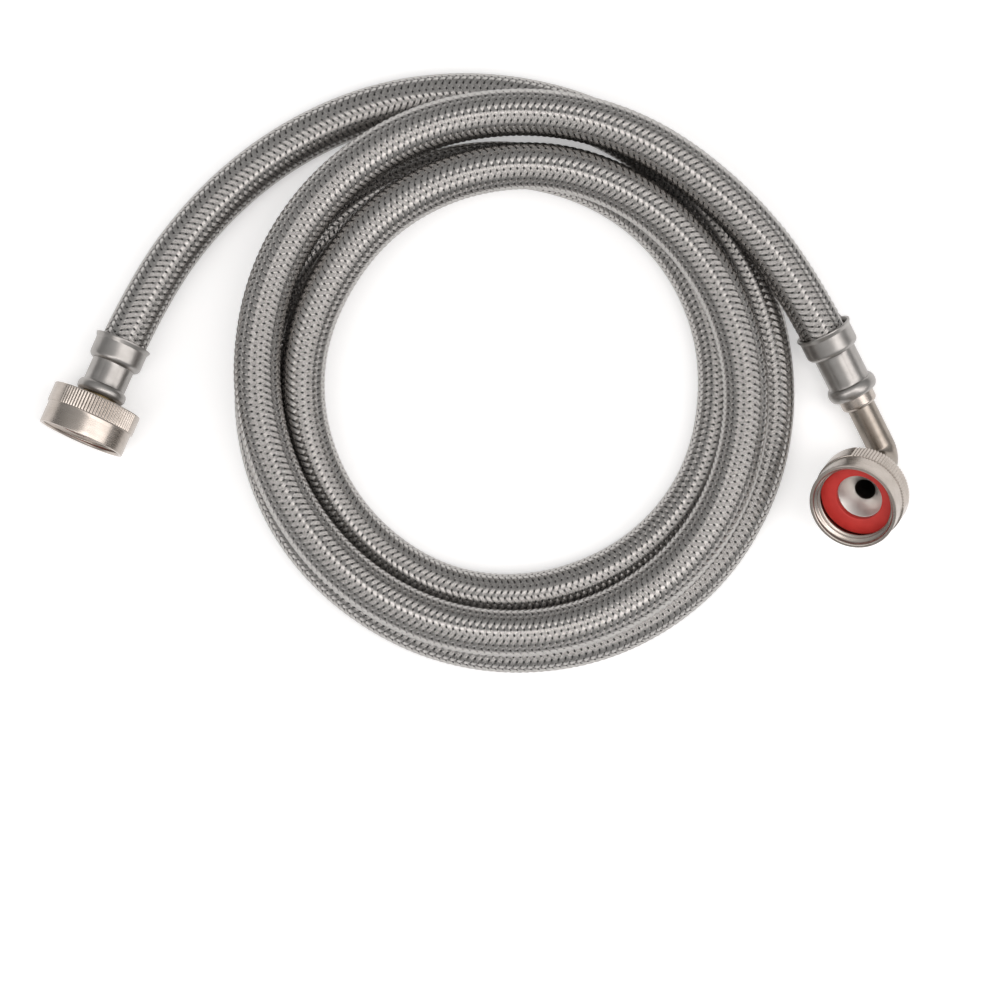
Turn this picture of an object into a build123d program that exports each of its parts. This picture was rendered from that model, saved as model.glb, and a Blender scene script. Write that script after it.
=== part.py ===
"""Braided water supply hose, coiled on a table: a straight swivel coupling at one end, an elbow at the other."""

from build123d import *
import math
import os

# ------------------------------------------------------------------ hose, mm
# Each layer of the hose, from the outside in: outer radius, inner radius, and the same two under the crimp.
LAYERS = {
    "wire_braid": (7.9, 7.2, 6.6, 6.1),
    "outer_jacket": (7.2, 6.3, 6.1, 5.5),
    "yarn_layer": (6.3, 6.0, 5.5, 5.3),
    "liner_tube": (6.0, 4.8, 5.3, 4.6),
}
HOSE_R = LAYERS["wire_braid"][0]
ARC_SHARE = 0.45  # of the shorter run beside a corner, taken up by the corner's arc

# ------------------------------------------------------------------ ferrules, mm along the fitting from its lip
LIP_R = 9.7
BELL_R = 9.1
BELL_BORE_R = 8.3
LIP_BORE_R = 8.9
BELL_END = 6.6  # where the bell starts to neck in
NECK_IN = 7.2  # where its bore starts to neck in
BARREL_START = 8.5
BARREL_R = 7.3
BEAD_R = 8.6
FERRULE_WALL = 0.7
HOSE_NECK_START = 7.0
TUBE_JOIN = 6.5  # where the swept hose meets its turned-down end
STRAIGHT_HOSE_END = 15.5
STRAIGHT_BEAD = (16.3, 20.3)
ELBOW_HOSE_END = 19.0
ELBOW_BEAD = (20.1, 24.7)

# ------------------------------------------------------------------ barbed inserts, mm
BORE_R = 3.3
BARB_R = 4.6
BARB_ROOT_R = 4.25
BARB_PITCH = 3.2
BARB_START = 1.0
STRAIGHT_NECK_R = 6.0
ELBOW_COLLAR_R = 6.2
ELBOW_COLLAR_END = 29.2
COLLAR_ROUND = 1.3

# ------------------------------------------------------------------ elbow tube, mm
TUBE_R = 4.8
TUBE_BORE_R = 3.55
TUBE_START = 26.0
CORNER = 50.05  # from the ferrule's lip to where the two legs would cross
BEND_R = 5.4
SEAT_NECK_R = 6.9
SEAT_NECK_START = 22.5
TUBE_END = 25.1
FUNNEL_R = 7.7
FUNNEL_END = 25.6

# ------------------------------------------------------------------ swivel nut, mm (3/4-11.5 NH garden-hose thread)
NUT_LENGTH = 14.2
NUT_WALL = 1.8
NUT_BAND = 6.6  # length of the knurled band
NUT_BAND_R = 15.4
NUT_SKIRT_R = 14.9
NUT_CHAMFER = 0.5
THREAD_CREST_R = 12.25
THREAD_ROOT_R = 13.62
THREAD_LENGTH = 5.0
MOUTH_CHAMFER = 0.8
HOLE_CLEARANCE = 0.25
KNURL_COUNT = 27  # grooves in each of two opposite arcs; the rest of the band is plain
KNURL_PITCH = 4.0  # degrees
KNURL_DEPTH = 0.4
KNURL_WIDTH = 0.5

# ------------------------------------------------------------------ flange and washer, mm
FLANGE_R = 11.8
FLANGE_THICK = 2.8
WASHER_R = 12.9
WASHER_BORE_R = 7.8
WASHER_THICK = 2.1
END_PLAY = 0.1  # gap on each side of the flange
STRAIGHT_NUT_BACK = 21.5  # along the straight fitting, from the ferrule's lip
ELBOW_NUT_BACK = 25.7  # along the elbow's second leg, from the corner
STRAIGHT_KNURL_TURN = -14.0  # degrees from straight up to the middle of a knurled arc, about the fitting's axis
ELBOW_KNURL_TURN = -70.0  # degrees from the elbow's first leg

# ------------------------------------------------------------------ where the two fittings lie
# The centre of each ferrule's lip, the compass heading of the fitting away from the hose, and its slope.
STRAIGHT_LIP, STRAIGHT_HEADING, STRAIGHT_SLOPE = (-117.33, 29.92, 12.61), -113.2, 7.0
ELBOW_LIP, ELBOW_HEADING, ELBOW_SLOPE = (117.72, 34.07, 14.78), -62.2, -12.7
ELBOW_ROLL = 31.6  # turns the elbow's outlet about the hose, from straight up

# ------------------------------------------------------------------ the hose's route, mm
F = 8.0  # height of the hose's centre where it lies on the table, a hair over its radius
STRAIGHT_LEAD = 18.0  # from a ferrule's lip out to the first point on the hose
ELBOW_LEAD = 17.0
ROUTE = [
    # out of the straight fitting, along the top and down the outside of the coil
    (-88.5, 76, 9), (-61, 98, 8.4), (-27.5, 112, F), (9.5, 114, F), (45, 104.5, F), (73.5, 83.5, F),
    (94.5, 52.5, F), (102.5, 16, F), (97.5, -18, F), (78.5, -49.5, F), (47.5, -70, F), (11, -75.5, F),
    (-24, -66.5, F), (-55, -42.5, F), (-71.5, -10, F), (-73.5, 25.5, F), (-59, 59, F),
    (-28.5, 83.5, F),
    # the inner turn, climbing on the left
    (9, 92.5, F), (46, 83, F), (72.5, 59.5, F), (85.5, 26, F), (81, -13, F), (59, -42, F), (24.5, -57, F),
    (-11, -54.5, F), (-41, -33.5, F), (-57.5, -1.5, 13.5), (-57, 33.5, 18.5), (-37, 67.5, 22.5),
    # the top turn, which rides on the two below it
    (-6.5, 86, 25), (29.5, 89.5, 25), (63, 74.5, 24), (86, 45, 23.5), (93.5, 9, 23), (84.5, -27, 23),
    (61.5, -54, 23), (28, -68.5, 23), (-10.5, -66.5, 24), (-43.5, -48, 24), (-65, -18.5, 24),
    (-73.5, 17, 24), (-67, 54, 24.5), (-46.5, 83.5, 24.5), (-16, 102.5, 24.5),
    # across the first lead and down to the elbow
    (21.5, 107.5, 25), (55.5, 99, 25.5), (86, 77, 25),
]


def heading_vector(heading, slope):
    """Unit vector at a compass heading in the XY plane, raised by slope degrees."""
    flat = math.cos(math.radians(slope))
    across, up = math.radians(heading), math.sin(math.radians(slope))
    return Vector(flat * math.cos(across), flat * math.sin(across), up)


def fitting_plane(lip, heading, slope, roll=0.0):
    """Plane at a ferrule's lip: Z runs out of the hose and X is up, turned about Z by roll degrees."""
    out = heading_vector(heading, slope)
    up = heading_vector(heading, slope + 90)
    return Plane(origin=lip, x_dir=up.rotate(Axis((0, 0, 0), tuple(out)), roll), z_dir=out)


STRAIGHT = fitting_plane(STRAIGHT_LIP, STRAIGHT_HEADING, STRAIGHT_SLOPE)
ELBOW = fitting_plane(ELBOW_LIP, ELBOW_HEADING, ELBOW_SLOPE, ELBOW_ROLL)
# The elbow's outlet: its origin is the corner of the two legs and Z runs out of the nut's mouth.
OUTLET = Plane(origin=ELBOW.origin + ELBOW.z_dir * CORNER, x_dir=-ELBOW.z_dir, z_dir=ELBOW.x_dir)


def along(plane, distance):
    """Point on a fitting's axis, a distance from its lip away from the hose."""
    return plane.origin + plane.z_dir * distance


# ------------------------------------------------------------------ shape helpers
def turned(*edges):
    """Solid of revolution about Z from a closed outline in the XZ plane."""
    return revolve(make_face(edges), axis=Axis.Z)


def corners(*points):
    """Straight outline through (radius, height) points."""
    return Polyline(*[(r, 0, z) for r, z in points])


def arc(start, middle, end):
    """Arc through three (radius, height) points."""
    return ThreePointArc(*[(r, 0, z) for r, z in (start, middle, end)])


def ring(outer, inner, low, high):
    """Plain sleeve about Z."""
    return turned(corners((inner, low), (outer, low), (outer, high), (inner, high), (inner, low)))


# ------------------------------------------------------------------ the hose
def route_points():
    """The route from one crimped hose end to the other."""
    first = [along(STRAIGHT, STRAIGHT_HOSE_END), along(STRAIGHT, -STRAIGHT_LEAD)]
    last = [along(ELBOW, -ELBOW_LEAD), along(ELBOW, ELBOW_HOSE_END)]
    return first + [Vector(*p) for p in ROUTE] + last


def corner_radii(points):
    """Radius of the arc at each corner of the route."""
    radii = []
    for before, here, after in zip(points, points[1:], points[2:]):
        turn = math.radians((here - before).get_angle(after - here))
        shorter = min((here - before).length, (after - here).length)
        radii.append(ARC_SHARE * shorter / math.tan(turn / 2))
    return radii


def hose_path():
    """Centreline of the swept hose, between the turned-down ends inside the two ferrules."""
    points = route_points()
    radii = corner_radii(points)
    swept = [along(STRAIGHT, TUBE_JOIN)] + points[1:-1] + [along(ELBOW, TUBE_JOIN)]
    return FilletPolyline(*swept, radius=radii), radii


def crimped_end(layer, hose_end):
    """The end of one layer inside a ferrule, squeezed down where the ferrule is crimped."""
    outer, inner, tight_outer, tight_inner = layer
    return turned(corners(
        (inner, TUBE_JOIN), (outer, TUBE_JOIN), (outer, HOSE_NECK_START), (tight_outer, BARREL_START),
        (tight_outer, hose_end), (tight_inner, hose_end), (tight_inner, BARREL_START),
        (inner, HOSE_NECK_START), (inner, TUBE_JOIN),
    ))


def hose_layer(layer, path):
    """One layer of the hose over its whole length."""
    outer, inner = layer[:2]
    start = Plane(origin=path @ 0, z_dir=path % 0)
    swept = sweep(start * (Circle(outer) - Circle(inner)), path=path)
    straight_end = STRAIGHT.location * crimped_end(layer, STRAIGHT_HOSE_END)
    elbow_end = ELBOW.location * crimped_end(layer, ELBOW_HOSE_END)
    return swept + straight_end + elbow_end


# ------------------------------------------------------------------ ferrules
def ferrule(bead, collar_r):
    """Crimped sleeve with a flared lip, a bell round the braid, a tight barrel and a rolled bead."""
    low, high = bead
    middle = (low + high) / 2
    hook = high - FERRULE_WALL
    inside_r = BARREL_R - FERRULE_WALL
    shoulder = (BELL_R - 0.5, BELL_END + 1.1)
    return turned(
        corners((LIP_BORE_R, 0), (LIP_R, 0), (LIP_R, 0.5), (BELL_R, 1.6), (BELL_R, BELL_END)),
        arc((BELL_R, BELL_END), shoulder, (BARREL_R, BARREL_START)),
        corners((BARREL_R, BARREL_START), (BARREL_R, low)),
        arc((BARREL_R, low), (BEAD_R, middle), (BARREL_R, high)),
        corners((BARREL_R, high), (collar_r, high), (collar_r, hook), (inside_r, hook)),
        arc((inside_r, hook), (BEAD_R - FERRULE_WALL, middle), (inside_r, low)),
        corners((inside_r, low), (inside_r, BARREL_START), (BELL_BORE_R, NECK_IN), (BELL_BORE_R, 1.2),
                (LIP_BORE_R, 0)),
    )


# ------------------------------------------------------------------ barbed inserts
def barbed_tail(shoulder):
    """Hollow tail with sawtooth barbs, from inside the bell to the shoulder that stops the hose."""
    points = [(BORE_R, BARB_START), (BARB_ROOT_R, BARB_START)]
    height = BARB_START
    while height + BARB_PITCH < shoulder:
        height += BARB_PITCH
        points += [(BARB_R, height - 0.6), (BARB_R, height - 0.2), (BARB_ROOT_R, height)]
    return points + [(BARB_ROOT_R, shoulder)]


def straight_stem():
    """Brass stem of the straight end: barbed tail, neck through the nut, and the flange it pulls on."""
    flange = STRAIGHT_NUT_BACK + NUT_WALL + END_PLAY
    face = flange + FLANGE_THICK
    return turned(corners(
        *barbed_tail(STRAIGHT_HOSE_END), (STRAIGHT_NECK_R, STRAIGHT_HOSE_END), (STRAIGHT_NECK_R, flange),
        (FLANGE_R, flange), (FLANGE_R, face), (BORE_R + 1.2, face), (BORE_R, face - 1.2),
        (BORE_R, BARB_START),
    ))


def elbow_insert():
    """Barbed insert of the elbow end, with a rounded collar that holds the bent tube."""
    collar_side = ELBOW_COLLAR_END - COLLAR_ROUND
    lean = COLLAR_ROUND * (1 - math.sqrt(0.5))
    tail = corners(*barbed_tail(ELBOW_HOSE_END), (ELBOW_COLLAR_R, ELBOW_HOSE_END),
                   (ELBOW_COLLAR_R, collar_side))
    rounded = arc((ELBOW_COLLAR_R, collar_side), (ELBOW_COLLAR_R - lean, ELBOW_COLLAR_END - lean),
                  (ELBOW_COLLAR_R - COLLAR_ROUND, ELBOW_COLLAR_END))
    socket = corners((ELBOW_COLLAR_R - COLLAR_ROUND, ELBOW_COLLAR_END), (TUBE_R, ELBOW_COLLAR_END),
                     (TUBE_R, TUBE_START), (BORE_R, TUBE_START), (BORE_R, BARB_START))
    return turned(tail, rounded, socket)


# ------------------------------------------------------------------ elbow tube and seat
def elbow_tube():
    """The tube bent through a right angle, in the elbow's own frame."""
    path = FilletPolyline((0, 0, TUBE_START), (0, 0, CORNER), (TUBE_END, 0, CORNER), radius=BEND_R)
    section = Plane(origin=path @ 0, z_dir=path % 0) * (Circle(TUBE_R) - Circle(TUBE_BORE_R))
    return sweep(section, path=path)


def elbow_seat():
    """Turned seat on the end of the bent tube: neck, flange and a funnel down to the bore."""
    flange = ELBOW_NUT_BACK + NUT_WALL + END_PLAY
    face = flange + FLANGE_THICK
    return turned(corners(
        (TUBE_R, SEAT_NECK_START), (SEAT_NECK_R, SEAT_NECK_START), (SEAT_NECK_R, flange),
        (FLANGE_R, flange), (FLANGE_R, face), (FUNNEL_R, face), (TUBE_BORE_R, FUNNEL_END),
        (TUBE_BORE_R, TUBE_END), (TUBE_R, TUBE_END), (TUBE_R, SEAT_NECK_START),
    ))


# ------------------------------------------------------------------ washer and nut
def washer(nut_back):
    """Flat rubber washer on the face of the flange."""
    low = nut_back + NUT_WALL + FLANGE_THICK + 2 * END_PLAY
    return ring(WASHER_R, WASHER_BORE_R, low, low + WASHER_THICK)


def knurl_grooves(low, turn):
    """The straight grooves of both knurled arcs, as cutters, with the arcs' middles turned about Z."""
    cutter = Box(2 * KNURL_DEPTH, KNURL_WIDTH, NUT_BAND)
    grooves = []
    for side in (turn, turn + 180):
        for index in range(KNURL_COUNT):
            angle = side + (index - (KNURL_COUNT - 1) / 2) * KNURL_PITCH
            place = Rotation(0, 0, angle) * Location((NUT_BAND_R, 0, low + NUT_BAND / 2), (0, 0, 45))
            grooves.append(place * cutter)
    return grooves


def nut(nut_back, neck_r, knurl_turn):
    """Swivel nut: knurled band, plain skirt, threaded mouth and a back wall that bears on the flange."""
    mouth = nut_back + NUT_LENGTH
    band_end = nut_back + NUT_BAND
    thread_high = mouth - MOUTH_CHAMFER
    thread_low = thread_high - THREAD_LENGTH
    hole_r = neck_r + HOLE_CLEARANCE
    body = turned(corners(
        (hole_r, nut_back), (NUT_BAND_R - NUT_CHAMFER, nut_back), (NUT_BAND_R, nut_back + NUT_CHAMFER),
        (NUT_BAND_R, band_end - NUT_CHAMFER / 2), (NUT_SKIRT_R, band_end),
        (NUT_SKIRT_R, mouth - NUT_CHAMFER / 2), (NUT_SKIRT_R - NUT_CHAMFER / 2, mouth),
        (THREAD_ROOT_R, mouth), (THREAD_CREST_R, thread_high), (THREAD_CREST_R, thread_low),
        (THREAD_ROOT_R, thread_low), (THREAD_ROOT_R, nut_back + NUT_WALL), (hole_r, nut_back + NUT_WALL),
        (hole_r, nut_back),
    ))
    return body - knurl_grooves(nut_back, knurl_turn)


# ------------------------------------------------------------------ the whole part
def build_parts():
    """Every node's solid, by node name."""
    path, radii = hose_path()
    length = path.length
    print("swept hose %.1f mm, hose with its crimped ends %.1f mm" % (
        length, length + STRAIGHT_HOSE_END + ELBOW_HOSE_END - 2 * TUBE_JOIN))
    print("arc radii", " ".join("%.0f" % radius for radius in radii))
    parts = {name: hose_layer(layer, path) for name, layer in LAYERS.items()}
    outer, inner = LAYERS["wire_braid"][:2]
    swept = sweep(Plane(origin=path @ 0, z_dir=path % 0) * (Circle(outer) - Circle(inner)), path=path)
    print("braid volume / (section x length) = %.5f" % (
        swept.volume / (math.pi * (outer**2 - inner**2) * length)))
    straight, elbow, outlet = STRAIGHT.location, ELBOW.location, OUTLET.location
    parts["straight_stem"] = straight * straight_stem()
    parts["straight_ferrule"] = straight * ferrule(STRAIGHT_BEAD, STRAIGHT_NECK_R)
    parts["straight_washer"] = straight * washer(STRAIGHT_NUT_BACK)
    parts["straight_nut"] = straight * nut(STRAIGHT_NUT_BACK, STRAIGHT_NECK_R, STRAIGHT_KNURL_TURN)
    parts["elbow_insert"] = elbow * elbow_insert()
    parts["elbow_ferrule"] = elbow * ferrule(ELBOW_BEAD, ELBOW_COLLAR_R)
    parts["elbow_tube"] = elbow * elbow_tube()
    parts["elbow_seat"] = outlet * elbow_seat()
    parts["elbow_washer"] = outlet * washer(ELBOW_NUT_BACK)
    parts["elbow_nut"] = outlet * nut(ELBOW_NUT_BACK, SEAT_NECK_R, ELBOW_KNURL_TURN)
    return parts


def main():
    os.makedirs("parts", exist_ok=True)
    parts = build_parts()
    for name, solid in parts.items():
        export_step(solid, f"parts/{name}.step")
    box = Compound(children=list(parts.values())).bounding_box()
    print("box", box.min, box.max)
    print("straight mouth", along(STRAIGHT, STRAIGHT_NUT_BACK + NUT_LENGTH), "axis", STRAIGHT.z_dir)
    print("elbow mouth", along(OUTLET, ELBOW_NUT_BACK + NUT_LENGTH), "axis", OUTLET.z_dir)


main()
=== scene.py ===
"""Looks of the braided water supply hose: its woven wire, its two fittings, and the light it is seen in."""

import math

import bpy
import numpy as np
from mathutils import Matrix, Vector


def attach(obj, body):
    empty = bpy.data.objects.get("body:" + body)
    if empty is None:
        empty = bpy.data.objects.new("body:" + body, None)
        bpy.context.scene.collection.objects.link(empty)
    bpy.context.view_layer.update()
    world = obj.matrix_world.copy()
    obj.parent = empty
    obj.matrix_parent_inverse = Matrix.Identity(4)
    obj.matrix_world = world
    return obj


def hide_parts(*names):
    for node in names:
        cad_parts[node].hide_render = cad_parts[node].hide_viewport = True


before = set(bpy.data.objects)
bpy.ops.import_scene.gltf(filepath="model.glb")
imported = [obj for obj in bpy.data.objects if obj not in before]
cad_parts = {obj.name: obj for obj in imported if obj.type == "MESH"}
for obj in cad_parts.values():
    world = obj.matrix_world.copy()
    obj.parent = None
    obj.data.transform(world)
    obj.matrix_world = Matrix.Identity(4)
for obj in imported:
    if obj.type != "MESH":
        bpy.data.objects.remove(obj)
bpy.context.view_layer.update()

# Lengths below are in mm unless a comment says otherwise; meshes are written in metres.
MM = 0.001

# ------------------------------------------------------------------ where the two fittings lie
# The centre of each ferrule's lip, in metres, and which way the fitting heads and slopes, in degrees.
STRAIGHT_LIP = Vector((-0.11733, 0.02992, 0.01261))
STRAIGHT_HEADING, STRAIGHT_SLOPE = -113.2, 7.0
ELBOW_LIP = Vector((0.11772, 0.03407, 0.01478))
ELBOW_HEADING, ELBOW_SLOPE, ELBOW_ROLL = -62.2, -12.7, 31.6
CORNER = 50.05  # from the elbow's lip to where its two legs would cross
STRAIGHT_HOSE_END, ELBOW_HOSE_END = 15.5, 19.0  # how far the hose reaches into a fitting
STRAIGHT_LEAD, ELBOW_LEAD = 18.0, 17.0  # from a lip out to the first point on the hose

# ------------------------------------------------------------------ the hose's route, metres
# The part's points again. Scratch programs fitted them to the photographed coil and rounded them to
# 0.5 mm. They were not chosen by hand.
F = 0.008  # height of the hose's centre where it lies on the floor
ROUTE = [
    (-0.0885, 0.076, 0.009), (-0.061, 0.098, 0.0084), (-0.0275, 0.112, F), (0.0095, 0.114, F),
    (0.045, 0.1045, F), (0.0735, 0.0835, F), (0.0945, 0.0525, F), (0.1025, 0.016, F),
    (0.0975, -0.018, F), (0.0785, -0.0495, F), (0.0475, -0.07, F), (0.011, -0.0755, F),
    (-0.024, -0.0665, F), (-0.055, -0.0425, F), (-0.0715, -0.01, F), (-0.0735, 0.0255, F),
    (-0.059, 0.059, F), (-0.0285, 0.0835, F), (0.009, 0.0925, F), (0.046, 0.083, F),
    (0.0725, 0.0595, F), (0.0855, 0.026, F), (0.081, -0.013, F), (0.059, -0.042, F), (0.0245, -0.057, F),
    (-0.011, -0.0545, F), (-0.041, -0.0335, F), (-0.0575, -0.0015, 0.0135), (-0.057, 0.0335, 0.0185),
    (-0.037, 0.0675, 0.0225), (-0.0065, 0.086, 0.025), (0.0295, 0.0895, 0.025), (0.063, 0.0745, 0.024),
    (0.086, 0.045, 0.0235), (0.0935, 0.009, 0.023), (0.0845, -0.027, 0.023), (0.0615, -0.054, 0.023),
    (0.028, -0.0685, 0.023), (-0.0105, -0.0665, 0.024), (-0.0435, -0.048, 0.024),
    (-0.065, -0.0185, 0.024), (-0.0735, 0.017, 0.024), (-0.067, 0.054, 0.0245),
    (-0.0465, 0.0835, 0.0245), (-0.016, 0.1025, 0.0245), (0.0215, 0.1075, 0.025),
    (0.0555, 0.099, 0.0255), (0.086, 0.077, 0.025),
]

# ------------------------------------------------------------------ the woven wire
HOSE_R = 7.9
CARRIERS = 12  # bundles of wire in each direction
LAY = 27.0  # length of hose in which a bundle goes once round
WIRES = 5  # in a bundle
WIRE = 0.28  # across one wire
WEAVE_STEP = 0.45  # along the hose, between a bundle's sections
WEAVE_LIFT = 0.24  # how far a bundle rises over, and dips under, the middle of the braid
CROWN = 0.2  # how much lower a bundle's outer wires lie than its middle one
BRAID_PIECES = 12
CORE_R, CORE_BORE_R = 7.15, 4.8  # the hose under its braid
TIGHT_R, TIGHT_BORE_R = 6.05, 4.6  # the same, where a ferrule squeezes it
CORE_SIDES = 48
BRAID_END = 6.5  # where the braid stops, inside a ferrule's bell

# ------------------------------------------------------------------ fittings, as in the CAD but where noted
LIP_R, LIP_BORE_R, BELL_R, BELL_BORE_R = 9.7, 8.9, 9.1, 8.3
BELL_END, NECK_IN, BARREL_START, BARREL_R = 6.6, 7.2, 8.5, 7.3
BEAD_R, FERRULE_WALL = 8.6, 0.7
CRIMP_FLATS, CRIMP_DEPTH = 8, 0.16  # pressed flats round a barrel, which the CAD leaves out
DENT, FINE_DENT = 0.035, 0.02  # how far a bell's wall wanders in and out, in the drawn ferrules only
# The straight bead stops 0.05 short of the CAD's, so that the nut slid right back stays clear of it.
STRAIGHT_BEAD, ELBOW_BEAD = (16.3, 20.25), (20.1, 24.7)
BORE_R, BARB_START = 3.3, 1.0
TAIL_R = 4.4  # the insert inside the hose, drawn plain where the CAD has barbs
STRAIGHT_NECK_R, ELBOW_COLLAR_R, ELBOW_COLLAR_END, COLLAR_ROUND = 6.0, 6.2, 29.2, 1.3
TUBE_R, TUBE_BORE_R, TUBE_START, BEND_R, TUBE_END = 4.8, 3.55, 26.0, 5.4, 25.1
BEND_SIDES = 64
SEAT_NECK_R, SEAT_NECK_START, FUNNEL_R, FUNNEL_END = 6.9, 22.5, 7.7, 25.6
NUT_LENGTH, NUT_WALL, NUT_BAND, NUT_BAND_R, NUT_SKIRT_R = 14.2, 1.8, 6.6, 15.4, 14.9
# The pitch is that of a 3/4-11.5 NH thread, which is assumed. The CAD has a plain bore here.
THREAD_CREST_R, THREAD_ROOT_R, THREAD_LENGTH, THREAD_PITCH = 12.25, 13.62, 5.0, 2.209
MOUTH_CHAMFER, HOLE_CLEARANCE = 0.8, 0.25
# The pitch is in degrees. The CAD's grooves are V-shaped and about 0.46 deep.
KNURL_COUNT, KNURL_PITCH, KNURL_DEPTH = 27, 4.0, 0.36
FLANGE_R, FLANGE_THICK, END_PLAY = 11.8, 2.8, 0.1
# The CAD's washers are 12.9 in radius.
WASHER_R, WASHER_BORE_R, WASHER_THICK = 13.3, 7.8, 2.1
STRAIGHT_NUT_BACK, ELBOW_NUT_BACK = 21.5, 25.7
STRAIGHT_KNURL_TURN, ELBOW_KNURL_TURN = -14.0, -70.0

# ------------------------------------------------------------------ the camera, straight above
CAMERA_OVER = (0.0093, -0.0232)  # metres
CAMERA_HEIGHT = 1.2
FIELD = 0.34  # metres across the picture, at the floor
SENSOR = 36.0


# ================================================================== frames
def heading_vector(heading, slope):
    """Unit vector at a compass heading in the XY plane, raised by slope degrees."""
    flat = math.cos(math.radians(slope))
    across = math.radians(heading)
    return Vector((flat * math.cos(across), flat * math.sin(across), math.sin(math.radians(slope))))


def frame_matrix(origin, x_axis, z_axis):
    """Matrix of a frame with that origin, X and Z."""
    turn = Matrix((x_axis, z_axis.cross(x_axis), z_axis)).transposed()
    return Matrix.Translation(origin) @ turn.to_4x4()


def fitting_frame(lip, heading, slope, roll=0.0):
    """Frame at a ferrule's lip: Z runs out of the hose and X is up, turned about Z by roll degrees."""
    out = heading_vector(heading, slope)
    up = Matrix.Rotation(math.radians(roll), 3, out) @ heading_vector(heading, slope + 90)
    return frame_matrix(lip, up, out)


def axis_of(matrix, column):
    """One axis of a frame, 0 for X to 2 for Z."""
    return matrix.to_3x3().col[column].copy()


STRAIGHT = fitting_frame(STRAIGHT_LIP, STRAIGHT_HEADING, STRAIGHT_SLOPE)
ELBOW = fitting_frame(ELBOW_LIP, ELBOW_HEADING, ELBOW_SLOPE, ELBOW_ROLL)
OUTLET = frame_matrix(ELBOW @ Vector((0, 0, CORNER * MM)), -axis_of(ELBOW, 2), axis_of(ELBOW, 0))


def along(matrix, distance):
    """Point on a fitting's axis, that many mm from its lip."""
    return matrix @ Vector((0, 0, distance * MM))


# ================================================================== meshes
def mesh_object(name, vertices, faces, caps=()):
    """Smooth-shaded object: vertices in metres, four-sided faces, and caps with any number of sides."""
    groups = [np.asarray(faces)] + [np.asarray([cap]) for cap in caps]
    corners = np.concatenate([group.ravel() for group in groups])
    sizes = np.concatenate([np.full(len(group), group.shape[1]) for group in groups])
    starts = np.concatenate([[0], np.cumsum(sizes)[:-1]])
    mesh = bpy.data.meshes.new(name)
    mesh.vertices.add(len(vertices))
    mesh.vertices.foreach_set("co", np.asarray(vertices, dtype=np.float32).ravel())
    mesh.loops.add(len(corners))
    mesh.loops.foreach_set("vertex_index", corners.astype(np.int32))
    mesh.polygons.add(len(starts))
    mesh.polygons.foreach_set("loop_start", starts.astype(np.int32))
    mesh.polygons.foreach_set("use_smooth", np.ones(len(starts), dtype=bool))
    mesh.update(calc_edges=True)
    piece = bpy.data.objects.new(name, mesh)
    bpy.context.scene.collection.objects.link(piece)
    return piece


def grid_faces(rows, columns, close_rows, first=0):
    """Quads of a grid of vertices whose columns close on themselves, and its rows too if close_rows."""
    row = np.arange(rows if close_rows else rows - 1)[:, None]
    column = np.arange(columns)[None, :]
    below, beside = (row + 1) % rows, (column + 1) % columns
    here, under = row * columns, below * columns
    quads = [here + column, here + beside, under + beside, under + column]
    return first + np.stack(quads, axis=-1).reshape(-1, 4)


def rounded(points, radius=0.15, steps=3):
    """Closed outline of (radius, height) points with every corner rounded off."""
    outline = []
    count = len(points)
    for index in range(count):
        here = np.array(points[index], dtype=float)
        into = np.array(points[index - 1], dtype=float) - here
        out = np.array(points[(index + 1) % count], dtype=float) - here
        into_length, out_length = np.linalg.norm(into), np.linalg.norm(out)
        reach = min(radius, 0.45 * into_length, 0.45 * out_length)
        start, end = here + into / into_length * reach, here + out / out_length * reach
        for step in range(steps + 1):
            t = step / steps
            outline.append((1 - t) ** 2 * start + 2 * t * (1 - t) * here + t * t * end)
    return np.array(outline)


def fine(outline, low, high, step, widest=math.inf):
    """The outline with points added, no further apart than step, between two heights and within a radius."""
    dense = []
    for here, after in zip(outline, np.roll(outline, -1, axis=0)):
        inside = low - 1e-6 <= min(here[1], after[1]) and max(here[1], after[1]) <= high + 1e-6
        inside = inside and max(here[0], after[0]) <= widest
        pieces = max(1, math.ceil(np.linalg.norm(after - here) / step)) if inside else 1
        dense += [here + (after - here) * k / pieces for k in range(pieces)]
    return np.array(dense)


def turned(name, matrix, outline, segments=192, shape=None, crease=40):
    """Lathe-turned piece in a fitting's frame. shape(radius, height, angle) gives the final radius."""
    angle = np.linspace(0, 2 * math.pi, segments, endpoint=False)[None, :]
    radius, height = outline[:, 0][:, None], outline[:, 1][:, None]
    reach = shape(radius, height, angle) if shape else radius + 0 * angle
    vertices = np.stack([reach * np.cos(angle), reach * np.sin(angle), height + 0 * angle], axis=-1)
    piece = mesh_object(name, vertices.reshape(-1, 3) * MM, grid_faces(len(outline), segments, True)[:, ::-1])
    piece.data.set_sharp_from_angle(angle=math.radians(crease))
    piece.matrix_world = matrix
    return piece


# ================================================================== the hose
def route_points():
    """The route from one crimped hose end to the other."""
    first = [along(STRAIGHT, STRAIGHT_HOSE_END), along(STRAIGHT, -STRAIGHT_LEAD)]
    last = [along(ELBOW, -ELBOW_LEAD), along(ELBOW, ELBOW_HOSE_END)]
    return first + [Vector(point) for point in ROUTE] + last


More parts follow.
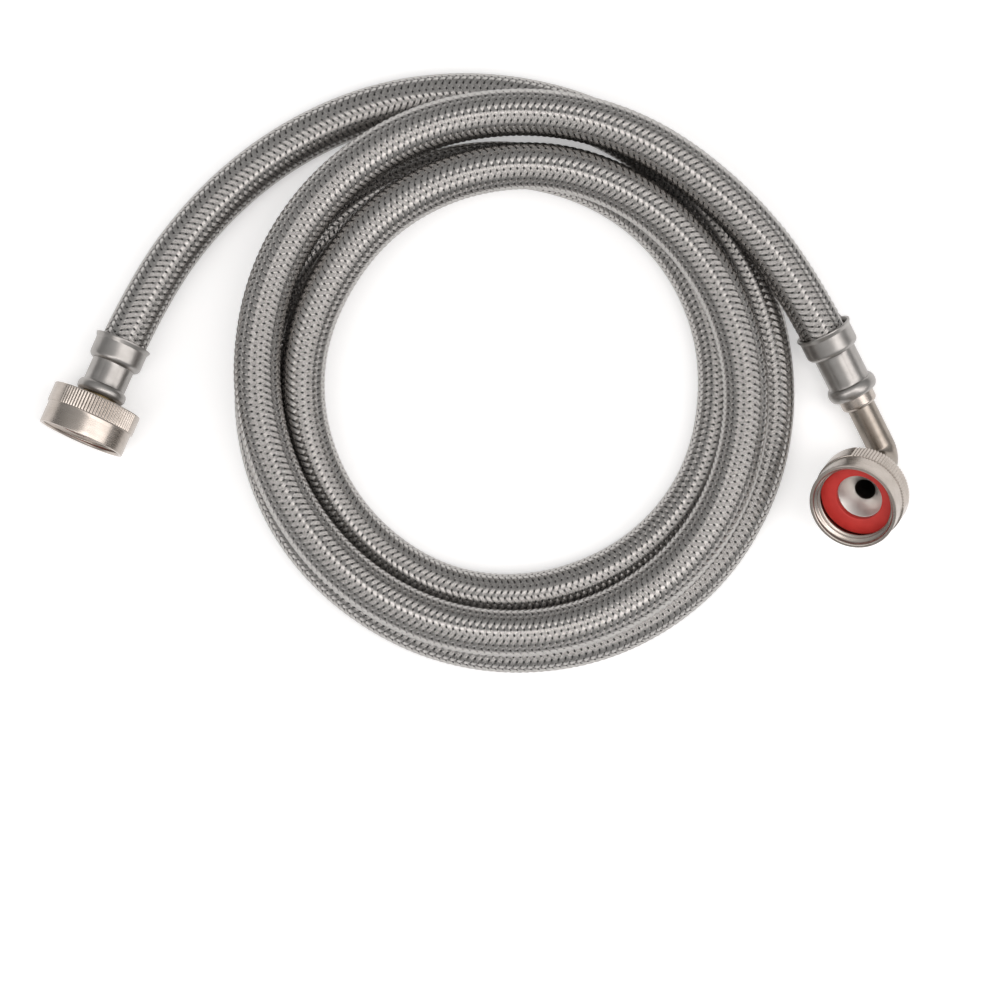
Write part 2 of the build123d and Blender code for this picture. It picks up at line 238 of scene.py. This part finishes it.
def route_line():
    """Points of the smooth line that the hose follows, read from a NURBS spline through the route."""
    curve = bpy.data.curves.new("route", "CURVE")
    curve.dimensions = "3D"
    spline = curve.splines.new("NURBS")
    points = route_points()
    spline.points.add(len(points) - 1)
    for control, point in zip(spline.points, points):
        control.co = (*point, 1.0)
    spline.order_u = 3
    spline.use_endpoint_u = True
    spline.resolution_u = 16
    guide = bpy.data.objects.new("route", curve)
    mesh = bpy.data.meshes.new_from_object(guide)
    line = np.array([vertex.co for vertex in mesh.vertices], dtype=float)
    bpy.data.objects.remove(guide)
    bpy.data.curves.remove(curve)
    bpy.data.meshes.remove(mesh)
    return line


class Line:
    """A smooth line, in mm, with a frame carried along it that never twists about it."""

    def __init__(self, points):
        steps = np.linalg.norm(np.diff(points, axis=0), axis=1)
        self.distance = np.concatenate([[0.0], np.cumsum(steps)])
        self.length = self.distance[-1]
        self.points = points
        tangent = np.gradient(points, self.distance, axis=0)
        self.tangent = tangent / np.linalg.norm(tangent, axis=1)[:, None]
        side = np.cross(self.tangent[0], (0.0, 0.0, 1.0))
        sides = []
        for ahead in self.tangent:
            side = side - side.dot(ahead) * ahead
            side = side / np.linalg.norm(side)
            sides.append(side)
        self.side = np.array(sides)

    def around(self, distance, angle, radius):
        """Points at an angle and a radius about the line, a distance along it."""
        centre, ahead, side = (
            np.stack([np.interp(distance, self.distance, values[:, k]) for k in range(3)], axis=-1)
            for values in (self.points, self.tangent, self.side)
        )
        up = np.cross(side, ahead)
        return centre + radius[..., None] * (np.cos(angle)[..., None] * side + np.sin(angle)[..., None] * up)


def core_tube(line):
    """The hose under its braid: a hollow tube, squeezed down inside each ferrule."""
    straight = (STRAIGHT_HOSE_END - BARREL_START, STRAIGHT_HOSE_END - NECK_IN)
    elbow = (ELBOW_HOSE_END - NECK_IN, ELBOW_HOSE_END - BARREL_START)
    stations = [0.0, straight[0], line.length - elbow[1], line.length]
    distance = np.concatenate([
        stations[:2], np.arange(straight[1], line.length - elbow[0], 2.0), stations[2:]])
    squeeze = [(0, 0), (straight[0], 0), (straight[1], 1), (line.length - elbow[0], 1),
               (line.length - elbow[1], 0), (line.length, 0)]
    full = np.interp(distance, *zip(*squeeze))
    outer = TIGHT_R + (CORE_R - TIGHT_R) * full
    inner = TIGHT_BORE_R + (CORE_BORE_R - TIGHT_BORE_R) * full
    there_and_back = np.concatenate([distance, distance[::-1]])
    radius = np.concatenate([outer, inner[::-1]])
    angle = np.linspace(0, 2 * math.pi, CORE_SIDES, endpoint=False)
    spots = [np.repeat(values[:, None], CORE_SIDES, axis=1) for values in (there_and_back, radius)]
    vertices = line.around(spots[0], np.tile(angle, (len(radius), 1)), spots[1])
    return mesh_object("hose_core", vertices.reshape(-1, 3) * MM, grid_faces(len(radius), CORE_SIDES, True))


def bundle_section():
    """Closed section of a bundle: a row of wires side by side, as (across, height) about its middle."""
    across = np.linspace(-1, 1, 2 * WIRES + 1)
    height = np.where(np.arange(2 * WIRES + 1) % 2, 0.5, -0.05) * WIRE
    height[[0, -1]] = -0.4 * WIRE
    return across * WIRES * WIRE / 2, height - CROWN * across**2


def bundle(line, hand, index):
    """Vertices of one bundle, wound one way or the other and woven over two and under two."""
    lean = math.atan2(2 * math.pi * HOSE_R, LAY)
    middle_r = HOSE_R - WEAVE_LIFT - WIRE / 2
    start, end = STRAIGHT_HOSE_END - BRAID_END, line.length - (ELBOW_HOSE_END - BRAID_END)
    distance = np.arange(start, end, WEAVE_STEP)[:, None]
    angle = hand * 2 * math.pi * (distance / LAY + index / CARRIERS)
    lift = hand * np.cos(CARRIERS / 2 * angle - math.pi / 4)
    across, height = bundle_section()
    distance = np.clip(distance - hand * across * math.sin(lean), start, end)
    angle = angle + across * math.cos(lean) / middle_r
    radius = middle_r + WEAVE_LIFT * lift + height
    return line.around(distance, angle, radius)


def braid_piece(line, number):
    """One piece of the braid: its share of the bundles wound each way."""
    vertices, faces, caps = [], [], []
    first = 0
    for hand in (1, -1):
        for index in range(number, CARRIERS, BRAID_PIECES):
            grid = bundle(line, hand, index)
            rows, columns = grid.shape[:2]
            vertices.append(grid.reshape(-1, 3) * MM)
            faces.append(grid_faces(rows, columns, False, first))
            caps += [first + np.arange(columns)[::-1], first + (rows - 1) * columns + np.arange(columns)]
            first += rows * columns
    piece = mesh_object(f"braid_{number + 1:02d}", np.concatenate(vertices), np.concatenate(faces), caps)
    part_wires(piece.data)
    return piece


def part_wires(mesh):
    """Marks the valleys between a bundle's wires as sharp, so that each wire catches the light by itself."""
    ends = np.empty(2 * len(mesh.edges), dtype=np.int32)
    mesh.edges.foreach_get("vertices", ends)
    column = ends.reshape(-1, 2) % (2 * WIRES + 1)
    valley = (column[:, 0] == column[:, 1]) & (column[:, 0] % 2 == 0)
    sharp = mesh.attributes.new("sharp_edge", "BOOLEAN", "EDGE")
    sharp.data.foreach_set("value", valley)


# ================================================================== fittings
def ferrule(name, matrix, bead, collar_r, crimp_turn):
    """Crimped sleeve: flared lip, bell, rounded shoulder, barrel with faint crimp flats, rolled bead."""
    low, high = bead
    middle, hook = (low + high) / 2, high - FERRULE_WALL
    inside_r = BARREL_R - FERRULE_WALL

    def bead_arc(reach, start, end, inner_r):
        turn = np.linspace(0, math.pi, 13)[1:-1]
        half = (end - start) / 2
        return [(inner_r + (reach - inner_r) * math.sin(a), start + half * (1 - math.cos(a))) for a in turn]

    shoulder = [(BARREL_R + (BELL_R - BARREL_R) * math.cos(a),
                 BELL_END + (BARREL_START - BELL_END) * math.sin(a)) for a in np.linspace(0, math.pi / 2, 8)]
    outside = [(LIP_BORE_R, 0), (LIP_R, 0), (LIP_R, 0.45), (BELL_R, 1.7)] + shoulder + [(BARREL_R, low)]
    outside += bead_arc(BEAD_R, low, high, BARREL_R) + [(BARREL_R, high), (collar_r, high)]
    inside = [(collar_r, hook), (inside_r, hook)]
    inside += bead_arc(BEAD_R - FERRULE_WALL, low, hook, inside_r)[::-1]
    inside += [(inside_r, low), (inside_r, BARREL_START), (BELL_BORE_R, NECK_IN), (BELL_BORE_R, 1.2)]
    outline = fine(rounded(outside + inside, 0.12), BARREL_START, low, 1.0)

    def dented(radius, height, angle):
        barrel = [BARREL_START - 0.5, BARREL_START + 1, low - 1, low + 0.3]
        on_barrel = np.interp(height, barrel, [0, 1, 1, 0])
        flats = CRIMP_DEPTH * (1 - np.abs(np.cos(CRIMP_FLATS / 2 * angle + crimp_turn)))
        on_bell = np.interp(height, [0.5, 3, BELL_END, BARREL_START], [0.3, 1, 1, 0])
        wobble = DENT * np.sin(3 * angle + 1.3 + crimp_turn + 0.5 * height)
        wobble = wobble + FINE_DENT * np.sin(7 * angle - 0.7 * height)
        return radius - on_barrel * flats + on_bell * wobble

    return turned(name, matrix, outline, 192, dented)


def insert_outline(shoulder, outside):
    """Outline of a barbed insert: its plain bore, its tail inside the hose, then what stands outside."""
    return [(BORE_R, BARB_START), (TAIL_R, BARB_START), (TAIL_R, shoulder)] + outside


def straight_stem():
    """Brass stem: neck through the nut, and the flange that the nut pulls on."""
    flange = STRAIGHT_NUT_BACK + NUT_WALL + END_PLAY
    face = flange + FLANGE_THICK
    outside = [(STRAIGHT_NECK_R, STRAIGHT_HOSE_END), (STRAIGHT_NECK_R, flange), (FLANGE_R, flange),
               (FLANGE_R, face), (BORE_R + 1.2, face), (BORE_R, face - 1.2)]
    return turned("straight_stem_turned", STRAIGHT, rounded(insert_outline(STRAIGHT_HOSE_END, outside)), 96)


def elbow_collar():
    """The elbow's insert, whose collar with a rounded front edge holds the bent tube."""
    arc = [(ELBOW_COLLAR_R - COLLAR_ROUND * (1 - math.cos(a)),
            ELBOW_COLLAR_END - COLLAR_ROUND * (1 - math.sin(a))) for a in np.linspace(0, math.pi / 2, 8)]
    outside = [(ELBOW_COLLAR_R, ELBOW_HOSE_END)] + arc + [
        (TUBE_R, ELBOW_COLLAR_END), (TUBE_R, TUBE_START), (BORE_R, TUBE_START)]
    return turned("elbow_collar", ELBOW, rounded(insert_outline(ELBOW_HOSE_END, outside), 0.08), 96)


def elbow_bend():
    """The tube bent through a right angle."""
    straight_in = np.linspace(TUBE_START, CORNER - BEND_R, 12)
    turn = np.linspace(0, math.pi / 2, 25)[1:-1]
    out = np.linspace(BEND_R, TUBE_END, 8)
    path = [(0, 0, z) for z in straight_in]
    path += [(BEND_R * (1 - math.cos(a)), 0, CORNER - BEND_R + BEND_R * math.sin(a)) for a in turn]
    path += [(x, 0, CORNER) for x in out]
    lean = [0.0] * len(straight_in) + list(turn) + [math.pi / 2] * len(out)
    angle = np.linspace(0, 2 * math.pi, BEND_SIDES, endpoint=False)
    rings = []
    for radius, order in ((TUBE_R, 1), (TUBE_BORE_R, -1)):
        for spot, tilt in list(zip(path, lean))[::order]:
            sideways = radius * np.cos(angle)
            x = spot[0] + sideways * math.cos(tilt)
            z = spot[2] - sideways * math.sin(tilt)
            rings.append(np.stack([x, radius * np.sin(angle), z], axis=-1))
    vertices = np.concatenate(rings) * MM
    piece = mesh_object("elbow_bend", vertices, grid_faces(len(rings), BEND_SIDES, True)[:, ::-1])
    piece.data.set_sharp_from_angle(angle=math.radians(40))
    piece.matrix_world = ELBOW
    return piece


def elbow_seat():
    """Turned seat: neck, flange and a funnel with fine tool marks down to the bore."""
    flange = ELBOW_NUT_BACK + NUT_WALL + END_PLAY
    face = flange + FLANGE_THICK
    outline = rounded([
        (TUBE_R, SEAT_NECK_START), (SEAT_NECK_R, SEAT_NECK_START), (SEAT_NECK_R, flange),
        (FLANGE_R, flange), (FLANGE_R, face), (FUNNEL_R, face), (TUBE_BORE_R, FUNNEL_END),
        (TUBE_BORE_R, TUBE_END), (TUBE_R, TUBE_END)], 0.1)
    return turned("elbow_seat_turned", OUTLET, outline, 128)


def washer(name, matrix, nut_back):
    """Flat rubber washer with soft edges."""
    low = nut_back + NUT_WALL + FLANGE_THICK + 2 * END_PLAY
    high = low + WASHER_THICK
    corners = [(WASHER_BORE_R, low), (WASHER_R, low), (WASHER_R, high), (WASHER_BORE_R, high)]
    return turned(name, matrix, rounded(corners, 0.4, 5), 128)


def nut(name, matrix, back, neck_r, knurl_turn):
    """Swivel nut: two knurled arcs on its band, a plain skirt, and a real helical thread in its mouth."""
    mouth, band_end = back + NUT_LENGTH, back + NUT_BAND
    thread_high = mouth - MOUTH_CHAMFER
    thread_low = thread_high - THREAD_LENGTH
    hole_r = neck_r + HOLE_CLEARANCE
    corners = rounded([
        (hole_r, back), (NUT_BAND_R, back), (NUT_BAND_R, band_end), (NUT_SKIRT_R, band_end),
        (NUT_SKIRT_R, mouth), (THREAD_ROOT_R + 0.3, mouth), (THREAD_ROOT_R, mouth - 0.4),
        (THREAD_ROOT_R, back + NUT_WALL), (hole_r, back + NUT_WALL)], 0.3, 4)
    outline = fine(fine(corners, back, mouth, 1.2), thread_low - 0.3, mouth, 0.14, THREAD_ROOT_R + 0.01)

    def knurled_and_threaded(radius, height, angle):
        turn = np.degrees(angle) - knurl_turn
        half = KNURL_COUNT * KNURL_PITCH / 2
        from_middle = (turn + 90) % 180 - 90
        in_arc = np.abs(from_middle) < half
        cut = KNURL_DEPTH * np.cos(np.pi * from_middle / KNURL_PITCH) ** 2 * in_arc
        on_band = (radius > NUT_SKIRT_R - 0.05) & (height < band_end + 0.05) & (height > back - 0.05)
        into = (height - mouth) / THREAD_PITCH + angle / (2 * math.pi)
        ridge = np.sin(np.pi * into) ** 2
        fade = np.interp(height, [thread_low, thread_low + 0.5, mouth - 2.0, mouth - 0.4], [0, 1, 1, 0])
        in_bore = np.abs(radius - THREAD_ROOT_R) < 0.35
        depth = (THREAD_ROOT_R - THREAD_CREST_R) * ridge * fade
        return radius - on_band * cut - in_bore * (radius <= THREAD_ROOT_R + 0.01) * depth

    return turned(name, matrix, outline, 720, knurled_and_threaded, crease=60)


# ================================================================== materials
def node_material(name):
    """New material with its shader, and a function that adds a node and sets its values."""
    material = bpy.data.materials.new(name)
    material.use_nodes = True
    tree = material.node_tree
    shader = tree.nodes["Principled BSDF"]

    def add(kind, **values):
        node = tree.nodes.new(kind)
        for key, value in values.items():
            if key in node.inputs:
                node.inputs[key].default_value = value
            else:
                setattr(node, key, value)
        return node

    return material, tree.links.new, shader, add


def stretched_noise(link, add, stretch, scale, detail=3.0):
    """Noise in the piece's own frame, stretched by different amounts along its axes."""
    place = add("ShaderNodeTexCoord")
    mapping = add("ShaderNodeMapping", Scale=stretch)
    noise = add("ShaderNodeTexNoise", Scale=scale, Detail=detail)
    link(place.outputs["Object"], mapping.inputs["Vector"])
    link(mapping.outputs["Vector"], noise.inputs["Vector"])
    return noise.outputs["Fac"]


def rough_from(link, add, shader, noise, low, high):
    """Roughness that follows a noise between two values."""
    spread = add("ShaderNodeMapRange")
    for key, value in (("From Min", 0.3), ("From Max", 0.7), ("To Min", low), ("To Max", high)):
        spread.inputs[key].default_value = value
    link(noise, spread.inputs["Value"])
    link(spread.outputs["Result"], shader.inputs["Roughness"])


def colour_from(link, add, shader, noise, dark, light):
    """Base colour that follows a noise between two colours."""
    ramp = add("ShaderNodeValToRGB")
    ramp.color_ramp.elements[0].position, ramp.color_ramp.elements[1].position = 0.3, 0.7
    ramp.color_ramp.elements[0].color = (*dark, 1)
    ramp.color_ramp.elements[1].color = (*light, 1)
    link(noise, ramp.inputs["Fac"])
    link(ramp.outputs["Color"], shader.inputs["Base Color"])


def bump_from(link, add, shader, noise, height, strength=1.0):
    """Bump that follows a noise, with its height in metres."""
    bump = add("ShaderNodeBump", Strength=strength, Distance=height)
    link(noise, bump.inputs["Height"])
    link(bump.outputs["Normal"], shader.inputs["Normal"])


def brushed_metal(name, dark, light, rough, stretch, scratch_height, scale=1.0):
    """Satin metal with fine lines drawn out along one way, uneven polish and slight colour change."""
    material, link, shader, add = node_material(name)
    shader.inputs["Metallic"].default_value = 1.0
    lines = stretched_noise(link, add, stretch, scale)
    patches = stretched_noise(link, add, (1, 1, 1), 260.0)
    colour_from(link, add, shader, patches, dark, light)
    rough_from(link, add, shader, lines, *rough)
    bump_from(link, add, shader, lines, scratch_height)
    return material


def wire_metal():
    """Bright drawn stainless wire. Its colour is even, and its polish changes from place to place."""
    material, link, shader, add = node_material("stainless_wire")
    shader.inputs["Metallic"].default_value = 1.0
    shader.inputs["Base Color"].default_value = (0.47, 0.455, 0.44, 1)
    rough_from(link, add, shader, stretched_noise(link, add, (1, 1, 1), 900.0), 0.16, 0.28)
    return material


def rubber(name, dark, light, rough):
    """Matt rubber with a faint moulded grain."""
    material, link, shader, add = node_material(name)
    grain = stretched_noise(link, add, (1, 1, 1), 1500.0)
    blotches = stretched_noise(link, add, (1, 1, 1), 180.0)
    colour_from(link, add, shader, blotches, dark, light)
    rough_from(link, add, shader, grain, *rough)
    bump_from(link, add, shader, grain, 0.00005)
    return material


RINGS = (30, 30, 9000)  # draws noise out into rings about a piece's own Z
STREAKS = (6000, 6000, 60)  # draws it out into streaks along Z
MATERIALS = {
    "wire": wire_metal(),
    "nickel": brushed_metal(
        "satin_nickel", (0.42, 0.375, 0.335), (0.49, 0.44, 0.40), (0.22, 0.34), RINGS, 0.000012),
    "tube": brushed_metal(
        "nickel_tube", (0.29, 0.255, 0.22), (0.38, 0.335, 0.295), (0.26, 0.4), STREAKS, 0.00001),
    "sheet": brushed_metal(
        "stainless_sheet", (0.34, 0.325, 0.31), (0.40, 0.385, 0.37), (0.3, 0.42), RINGS, 0.000006),
    "brass": brushed_metal(
        "turned_brass", (0.34, 0.24, 0.11), (0.42, 0.31, 0.15), (0.3, 0.45), RINGS, 0.00001),
    # The seat is satin nickel like the nut and collar, but its colour is painted much lighter all over: a
    # painted highlight.
    "seat": brushed_metal(
        "turned_seat_painted_light", (0.72, 0.70, 0.67), (0.78, 0.76, 0.73), (0.34, 0.46), RINGS, 0.00001),
    "red": rubber("red_rubber", (0.56, 0.028, 0.022), (0.68, 0.045, 0.035), (0.4, 0.55)),
    "core": rubber("hose_rubber", (0.012, 0.012, 0.012), (0.03, 0.03, 0.03), (0.5, 0.7)),
}


def finish(piece, material, slot, body, *replaced):
    """Gives a piece its material, puts it on its body, and hides what it replaces. The slot is not used."""
    piece.data.materials.append(MATERIALS[material])
    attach(piece, body)
    if replaced:
        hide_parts(*replaced)
    return piece


# ================================================================== the object
def build_hose():
    """The core and the braid, which follow the route."""
    line = Line(route_line() / MM)
    core = finish(core_tube(line), "core", "black_rubber", "hose_line",
                  "outer_jacket", "yarn_layer", "liner_tube")
    braid = [
        finish(braid_piece(line, number), "wire", "stainless_braid", "hose_line", "wire_braid")
        for number in range(BRAID_PIECES)
    ]
    return line, core, braid


def build_straight_end():
    """Pieces of the straight end."""
    finish(ferrule("straight_ferrule_shell", STRAIGHT, STRAIGHT_BEAD, STRAIGHT_NECK_R, 0.4),
           "sheet", "stainless_sheet", "hose_line", "straight_ferrule")
    finish(straight_stem(), "brass", "brass", "hose_line", "straight_stem")
    finish(washer("straight_seal", STRAIGHT, STRAIGHT_NUT_BACK),
           "red", "red_rubber", "straight_seal", "straight_washer")
    finish(nut("straight_nut_knurled", STRAIGHT, STRAIGHT_NUT_BACK, STRAIGHT_NECK_R, STRAIGHT_KNURL_TURN),
           "nickel", "satin_nickel", "straight_nut", "straight_nut")


def build_elbow_end():
    """Pieces of the elbow end, in a list."""
    return [
        finish(ferrule("elbow_ferrule_shell", ELBOW, ELBOW_BEAD, ELBOW_COLLAR_R, 1.1),
               "sheet", "stainless_sheet", "hose_line", "elbow_ferrule"),
        finish(elbow_collar(), "nickel", "satin_nickel", "hose_line", "elbow_insert"),
        finish(elbow_bend(), "tube", "satin_nickel", "hose_line", "elbow_tube"),
        finish(elbow_seat(), "seat", "satin_nickel", "hose_line", "elbow_seat"),
        finish(washer("elbow_seal", OUTLET, ELBOW_NUT_BACK),
               "red", "red_rubber", "elbow_seal", "elbow_washer"),
        finish(nut("elbow_nut_knurled", OUTLET, ELBOW_NUT_BACK, SEAT_NECK_R, ELBOW_KNURL_TURN),
               "nickel", "satin_nickel", "elbow_nut", "elbow_nut"),
    ]


# ================================================================== the studio
WARM_WHITE = (1.0, 0.965, 0.95)


def softbox(name, place, size, power):
    """Large area light aimed at the middle of the object."""
    light = bpy.data.lights.new(name, "AREA")
    light.shape = "RECTANGLE"
    light.size, light.size_y = size
    light.energy = power
    light.color = WARM_WHITE
    lamp = bpy.data.objects.new(name, light)
    lamp.location = place
    lamp.rotation_euler = (-Vector(place)).to_track_quat("-Z", "Y").to_euler()
    bpy.context.scene.collection.objects.link(lamp)


def studio():
    """Pale floor, a surround that dims towards the horizon, and a long softbox on each side of the camera."""
    bpy.ops.mesh.primitive_plane_add(size=6, location=(0, 0, 0))
    floor = bpy.context.object
    floor.name = "floor"
    material, _, shader, _ = node_material("pale_floor")
    shader.inputs["Base Color"].default_value = (0.95, 0.95, 0.95, 1)
    shader.inputs["Roughness"].default_value = 0.9
    shader.inputs["Specular IOR Level"].default_value = 0.1
    shader.inputs["Emission Color"].default_value = (1, 1, 1, 1)
    shader.inputs["Emission Strength"].default_value = 0.32
    floor.data.materials.append(material)
    surround()
    softbox("left_strip", (-0.46, -0.25, 1.4), (0.5, 2.0), 7.5)
    softbox("right_box", (1.0, -0.25, 1.35), (0.7, 2.0), 10.5)
    bpy.context.scene.view_settings.view_transform = "Standard"


def surround():
    """Even white light from above, dimmer towards the horizon."""
    world = bpy.data.worlds.new("surround")
    world.use_nodes = True
    tree = world.node_tree
    direction = tree.nodes.new("ShaderNodeTexCoord")
    parts = tree.nodes.new("ShaderNodeSeparateXYZ")
    height = tree.nodes.new("ShaderNodeMapRange")
    for key, value in (("From Min", 0.0), ("From Max", 0.8), ("To Min", 0.2), ("To Max", 0.58)):
        height.inputs[key].default_value = value
    tree.links.new(direction.outputs["Generated"], parts.inputs["Vector"])
    tree.links.new(parts.outputs["Z"], height.inputs["Value"])
    tree.links.new(height.outputs["Result"], tree.nodes["Background"].inputs["Strength"])
    tree.nodes["Background"].inputs["Color"].default_value = (1, 1, 1, 1)
    bpy.context.scene.world = world


def place_camera():
    """Camera straight above, looking down, with +Y up in the picture."""
    data = bpy.data.cameras.new("camera")
    data.sensor_width = SENSOR
    data.lens = SENSOR * CAMERA_HEIGHT / FIELD
    camera = bpy.data.objects.new("camera", data)
    camera.location = (*CAMERA_OVER, CAMERA_HEIGHT)
    bpy.context.scene.collection.objects.link(camera)
    bpy.context.scene.camera = camera


line, core, braid = build_hose()
build_straight_end()
elbow_pieces = build_elbow_end()
studio()
place_camera()
